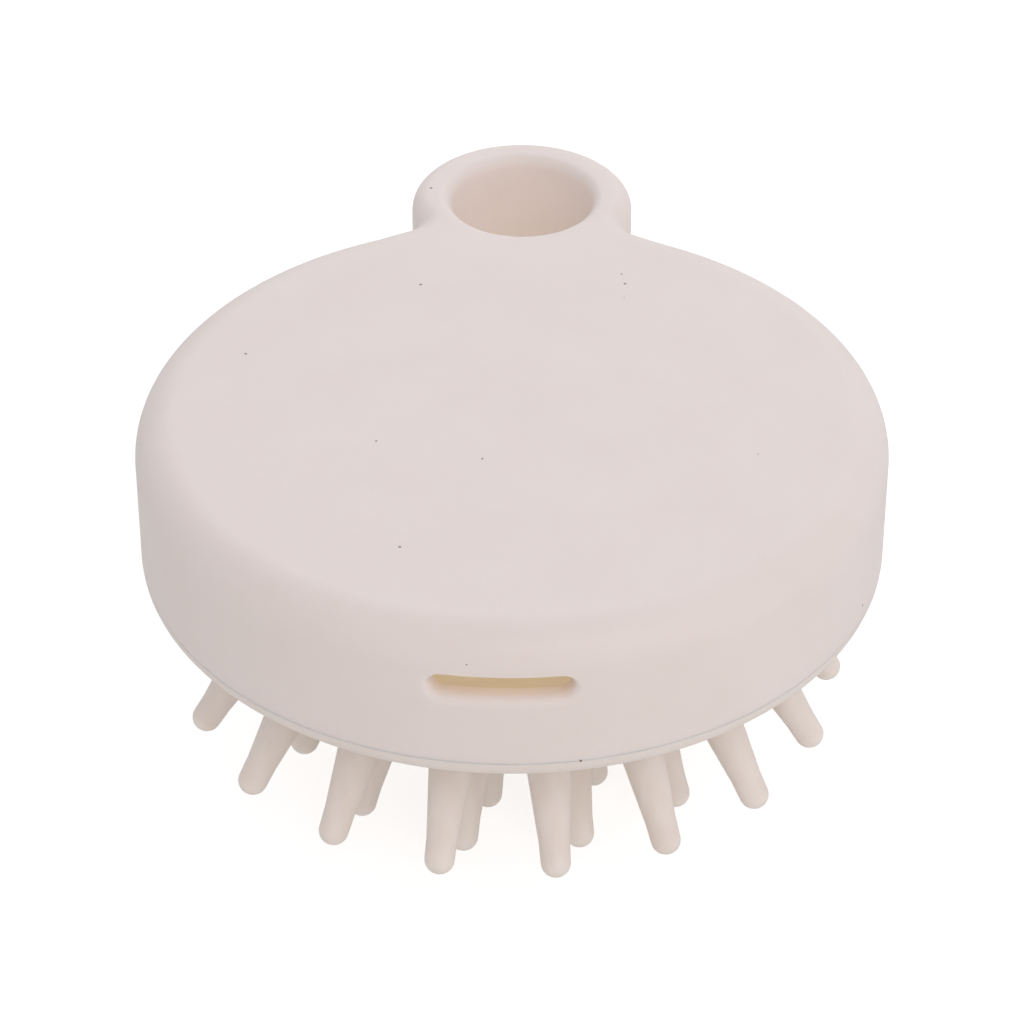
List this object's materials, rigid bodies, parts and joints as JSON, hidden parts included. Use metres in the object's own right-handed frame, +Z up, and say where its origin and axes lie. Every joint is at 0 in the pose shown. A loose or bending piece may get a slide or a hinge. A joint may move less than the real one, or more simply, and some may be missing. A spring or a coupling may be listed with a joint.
{
  "type": "scalp massager brush",
  "caption": "Round palm-held scalp massager: hollow disc handle with a finger ring and a drain slot, and soft tapered pins fanning out from a domed pad underneath.",
  "frame": {"origin": "middle of the outline on the floor plane, level with the end of the centre pin, with the disc axis at the origin less half of what the ring adds to the length", "axes": "+Z up, square to the flat palm face; +Y from the disc to the ring; the drain slot faces -Y; +X to the right seen from the slot side"},
  "size_m": [0.076, 0.0914, 0.0434],
  "materials": {
    "shell": "fine matt moulded texture, soft to the touch",
    "base": "fine matt moulded texture",
    "pad": "smooth moulded elastomer, slightly translucent",
    "pins": "smooth glossy moulded elastomer, slightly translucent"
  },
  "bodies": {
    "handle": {"handle_shell": "shell", "base_ring": "base", "pin_pad": "pad"},
    "center_pin": {"center_pin": "pins"},
    "inner_pin_1": {"inner_pin_1": "pins"},
    "inner_pin_2": {"inner_pin_2": "pins"},
    "inner_pin_3": {"inner_pin_3": "pins"},
    "inner_pin_4": {"inner_pin_4": "pins"},
    "inner_pin_5": {"inner_pin_5": "pins"},
    "inner_pin_6": {"inner_pin_6": "pins"},
    "middle_pin_1": {"middle_pin_1": "pins"},
    "middle_pin_2": {"middle_pin_2": "pins"},
    "middle_pin_3": {"middle_pin_3": "pins"},
    "middle_pin_4": {"middle_pin_4": "pins"},
    "middle_pin_5": {"middle_pin_5": "pins"},
    "middle_pin_6": {"middle_pin_6": "pins"},
    "middle_pin_7": {"middle_pin_7": "pins"},
    "middle_pin_8": {"middle_pin_8": "pins"},
    "middle_pin_9": {"middle_pin_9": "pins"},
    "middle_pin_10": {"middle_pin_10": "pins"},
    "middle_pin_11": {"middle_pin_11": "pins"},
    "middle_pin_12": {"middle_pin_12": "pins"},
    "outer_pin_1": {"outer_pin_1": "pins"},
    "outer_pin_2": {"outer_pin_2": "pins"},
    "outer_pin_3": {"outer_pin_3": "pins"},
    "outer_pin_4": {"outer_pin_4": "pins"},
    "outer_pin_5": {"outer_pin_5": "pins"},
    "outer_pin_6": {"outer_pin_6": "pins"},
    "outer_pin_7": {"outer_pin_7": "pins"},
    "outer_pin_8": {"outer_pin_8": "pins"},
    "outer_pin_9": {"outer_pin_9": "pins"},
    "outer_pin_10": {"outer_pin_10": "pins"},
    "outer_pin_11": {"outer_pin_11": "pins"},
    "outer_pin_12": {"outer_pin_12": "pins"},
    "outer_pin_13": {"outer_pin_13": "pins"},
    "outer_pin_14": {"outer_pin_14": "pins"},
    "outer_pin_15": {"outer_pin_15": "pins"},
    "outer_pin_16": {"outer_pin_16": "pins"},
    "outer_pin_17": {"outer_pin_17": "pins"},
    "outer_pin_18": {"outer_pin_18": "pins"}
  },
  "joints": [
    {"name": "center_pin_bend", "type": "hinge", "parent": "handle", "child": "center_pin", "pos_m": [0, -0.00775, 0.015], "axis": [-0.9816, 0.1908, 0], "range_deg": [-15, 15], "stiffness_Nm_per_rad": 0.03},
    {"name": "inner_pin_1_bend", "type": "hinge", "parent": "handle", "child": "inner_pin_1", "pos_m": [-0.0017, -0.01652, 0.0159], "axis": [-0.9816, 0.1908, 0], "range_deg": [-15, 20], "stiffness_Nm_per_rad": 0.03},
    {"name": "inner_pin_2_bend", "type": "hinge", "parent": "handle", "child": "inner_pin_2", "pos_m": [0.00675, -0.01361, 0.0159], "axis": [-0.6561, -0.7547, 0], "range_deg": [-15, 20], "stiffness_Nm_per_rad": 0.03},
    {"name": "inner_pin_3_bend", "type": "hinge", "parent": "handle", "child": "inner_pin_3", "pos_m": [0.00845, -0.00484, 0.0159], "axis": [0.3256, -0.9455, 0], "range_deg": [-15, 20], "stiffness_Nm_per_rad": 0.03},
    {"name": "inner_pin_4_bend", "type": "hinge", "parent": "handle", "child": "inner_pin_4", "pos_m": [0.0017, 0.00102, 0.0159], "axis": [0.9816, -0.1908, 0], "range_deg": [-15, 20], "stiffness_Nm_per_rad": 0.03},
    {"name": "inner_pin_5_bend", "type": "hinge", "parent": "handle", "child": "inner_pin_5", "pos_m": [-0.00675, -0.00189, 0.0159], "axis": [0.6561, 0.7547, 0], "range_deg": [-15, 20], "stiffness_Nm_per_rad": 0.03},
    {"name": "inner_pin_6_bend", "type": "hinge", "parent": "handle", "child": "inner_pin_6", "pos_m": [-0.00845, -0.01066, 0.0159], "axis": [-0.3256, 0.9455, 0], "range_deg": [-15, 20], "stiffness_Nm_per_rad": 0.03},
    {"name": "middle_pin_1_bend", "type": "hinge", "parent": "handle", "child": "middle_pin_1", "pos_m": [-0.00334, -0.02494, 0.01855], "axis": [-0.9816, 0.1908, 0], "range_deg": [-15, 20], "stiffness_Nm_per_rad": 0.03},
    {"name": "middle_pin_2_bend", "type": "hinge", "parent": "handle", "child": "middle_pin_2", "pos_m": [0.0057, -0.02431, 0.01855], "axis": [-0.9455, -0.3256, 0], "range_deg": [-15, 20], "stiffness_Nm_per_rad": 0.03},
    {"name": "middle_pin_3_bend", "type": "hinge", "parent": "handle", "child": "middle_pin_3", "pos_m": [0.01322, -0.01924, 0.01855], "axis": [-0.6561, -0.7547, 0], "range_deg": [-15, 20], "stiffness_Nm_per_rad": 0.03},
    {"name": "middle_pin_4_bend", "type": "hinge", "parent": "handle", "child": "middle_pin_4", "pos_m": [0.01719, -0.01109, 0.01855], "axis": [-0.1908, -0.9816, 0], "range_deg": [-15, 20], "stiffness_Nm_per_rad": 0.03},
    {"name": "middle_pin_5_bend", "type": "hinge", "parent": "handle", "child": "middle_pin_5", "pos_m": [0.01656, -0.00205, 0.01855], "axis": [0.3256, -0.9455, 0], "range_deg": [-15, 20], "stiffness_Nm_per_rad": 0.03},
    {"name": "middle_pin_6_bend", "type": "hinge", "parent": "handle", "child": "middle_pin_6", "pos_m": [0.01149, 0.00547, 0.01855], "axis": [0.7547, -0.6561, 0], "range_deg": [-15, 20], "stiffness_Nm_per_rad": 0.03},
    {"name": "middle_pin_7_bend", "type": "hinge", "parent": "handle", "child": "middle_pin_7", "pos_m": [0.00334, 0.00945, 0.01855], "axis": [0.9816, -0.1908, 0], "range_deg": [-15, 20], "stiffness_Nm_per_rad": 0.03},
    {"name": "middle_pin_8_bend", "type": "hinge", "parent": "handle", "child": "middle_pin_8", "pos_m": [-0.0057, 0.00881, 0.01855], "axis": [0.9455, 0.3256, 0], "range_deg": [-15, 20], "stiffness_Nm_per_rad": 0.03},
    {"name": "middle_pin_9_bend", "type": "hinge", "parent": "handle", "child": "middle_pin_9", "pos_m": [-0.01322, 0.00374, 0.01855], "axis": [0.6561, 0.7547, 0], "range_deg": [-15, 20], "stiffness_Nm_per_rad": 0.03},
    {"name": "middle_pin_10_bend", "type": "hinge", "parent": "handle", "child": "middle_pin_10", "pos_m": [-0.01719, -0.00441, 0.01855], "axis": [0.1908, 0.9816, 0], "range_deg": [-15, 20], "stiffness_Nm_per_rad": 0.03},
    {"name": "middle_pin_11_bend", "type": "hinge", "parent": "handle", "child": "middle_pin_11", "pos_m": [-0.01656, -0.01345, 0.01855], "axis": [-0.3256, 0.9455, 0], "range_deg": [-15, 20], "stiffness_Nm_per_rad": 0.03},
    {"name": "middle_pin_12_bend", "type": "hinge", "parent": "handle", "child": "middle_pin_12", "pos_m": [-0.01149, -0.02097, 0.01855], "axis": [-0.7547, 0.6561, 0], "range_deg": [-15, 20], "stiffness_Nm_per_rad": 0.03},
    {"name": "outer_pin_1_bend", "type": "hinge", "parent": "handle", "child": "outer_pin_1", "pos_m": [-0.00485, -0.03268, 0.02285], "axis": [-0.9816, 0.1908, 0], "range_deg": [-15, 20], "stiffness_Nm_per_rad": 0.03},
    {"name": "outer_pin_2_bend", "type": "hinge", "parent": "handle", "child": "outer_pin_2", "pos_m": [0.00397, -0.03284, 0.02285], "axis": [-0.9877, -0.1564, 0], "range_deg": [-15, 20], "stiffness_Nm_per_rad": 0.03},
    {"name": "outer_pin_3_bend", "type": "hinge", "parent": "handle", "child": "outer_pin_3", "pos_m": [0.01231, -0.02996, 0.02285], "axis": [-0.8746, -0.4848, 0], "range_deg": [-15, 20], "stiffness_Nm_per_rad": 0.03},
    {"name": "outer_pin_4_bend", "type": "hinge", "parent": "handle", "child": "outer_pin_4", "pos_m": [0.01917, -0.02441, 0.02285], "axis": [-0.6561, -0.7547, 0], "range_deg": [-15, 20], "stiffness_Nm_per_rad": 0.03},
    {"name": "outer_pin_5_bend", "type": "hinge", "parent": "handle", "child": "outer_pin_5", "pos_m": [0.02371, -0.01685, 0.02285], "axis": [-0.3584, -0.9336, 0], "range_deg": [-15, 20], "stiffness_Nm_per_rad": 0.03},
    {"name": "outer_pin_6_bend", "type": "hinge", "parent": "handle", "child": "outer_pin_6", "pos_m": [0.0254, -0.00819, 0.02285], "axis": [-0.0175, -0.9998, 0], "range_deg": [-15, 20], "stiffness_Nm_per_rad": 0.03},
    {"name": "outer_pin_7_bend", "type": "hinge", "parent": "handle", "child": "outer_pin_7", "pos_m": [0.02402, 0.00052, 0.02285], "axis": [0.3256, -0.9455, 0], "range_deg": [-15, 20], "stiffness_Nm_per_rad": 0.03},
    {"name": "outer_pin_8_bend", "type": "hinge", "parent": "handle", "child": "outer_pin_8", "pos_m": [0.01974, 0.00823, 0.02285], "axis": [0.6293, -0.7771, 0], "range_deg": [-15, 20], "stiffness_Nm_per_rad": 0.03},
    {"name": "outer_pin_9_bend", "type": "hinge", "parent": "handle", "child": "outer_pin_9", "pos_m": [0.01308, 0.01402, 0.02285], "axis": [0.8572, -0.515, 0], "range_deg": [-15, 20], "stiffness_Nm_per_rad": 0.03},
    {"name": "outer_pin_10_bend", "type": "hinge", "parent": "handle", "child": "outer_pin_10", "pos_m": [0.00485, 0.01718, 0.02285], "axis": [0.9816, -0.1908, 0], "range_deg": [-15, 20], "stiffness_Nm_per_rad": 0.03},
    {"name": "outer_pin_11_bend", "type": "hinge", "parent": "handle", "child": "outer_pin_11", "pos_m": [-0.00397, 0.01734, 0.02285], "axis": [0.9877, 0.1564, 0], "range_deg": [-15, 20], "stiffness_Nm_per_rad": 0.03},
    {"name": "outer_pin_12_bend", "type": "hinge", "parent": "handle", "child": "outer_pin_12", "pos_m": [-0.01231, 0.01447, 0.02285], "axis": [0.8746, 0.4848, 0], "range_deg": [-15, 20], "stiffness_Nm_per_rad": 0.03},
    {"name": "outer_pin_13_bend", "type": "hinge", "parent": "handle", "child": "outer_pin_13", "pos_m": [-0.01917, 0.00891, 0.02285], "axis": [0.6561, 0.7547, 0], "range_deg": [-15, 20], "stiffness_Nm_per_rad": 0.03},
    {"name": "outer_pin_14_bend", "type": "hinge", "parent": "handle", "child": "outer_pin_14", "pos_m": [-0.02371, 0.00135, 0.02285], "axis": [0.3584, 0.9336, 0], "range_deg": [-15, 20], "stiffness_Nm_per_rad": 0.03},
    {"name": "outer_pin_15_bend", "type": "hinge", "parent": "handle", "child": "outer_pin_15", "pos_m": [-0.0254, -0.00731, 0.02285], "axis": [0.0175, 0.9998, 0], "range_deg": [-15, 20], "stiffness_Nm_per_rad": 0.03},
    {"name": "outer_pin_16_bend", "type": "hinge", "parent": "handle", "child": "outer_pin_16", "pos_m": [-0.02402, -0.01602, 0.02285], "axis": [-0.3256, 0.9455, 0], "range_deg": [-15, 20], "stiffness_Nm_per_rad": 0.03},
    {"name": "outer_pin_17_bend", "type": "hinge", "parent": "handle", "child": "outer_pin_17", "pos_m": [-0.01974, -0.02373, 0.02285], "axis": [-0.6293, 0.7771, 0], "range_deg": [-15, 20], "stiffness_Nm_per_rad": 0.03},
    {"name": "outer_pin_18_bend", "type": "hinge", "parent": "handle", "child": "outer_pin_18", "pos_m": [-0.01308, -0.02952, 0.02285], "axis": [-0.8572, 0.515, 0], "range_deg": [-15, 20], "stiffness_Nm_per_rad": 0.03}
  ]
}
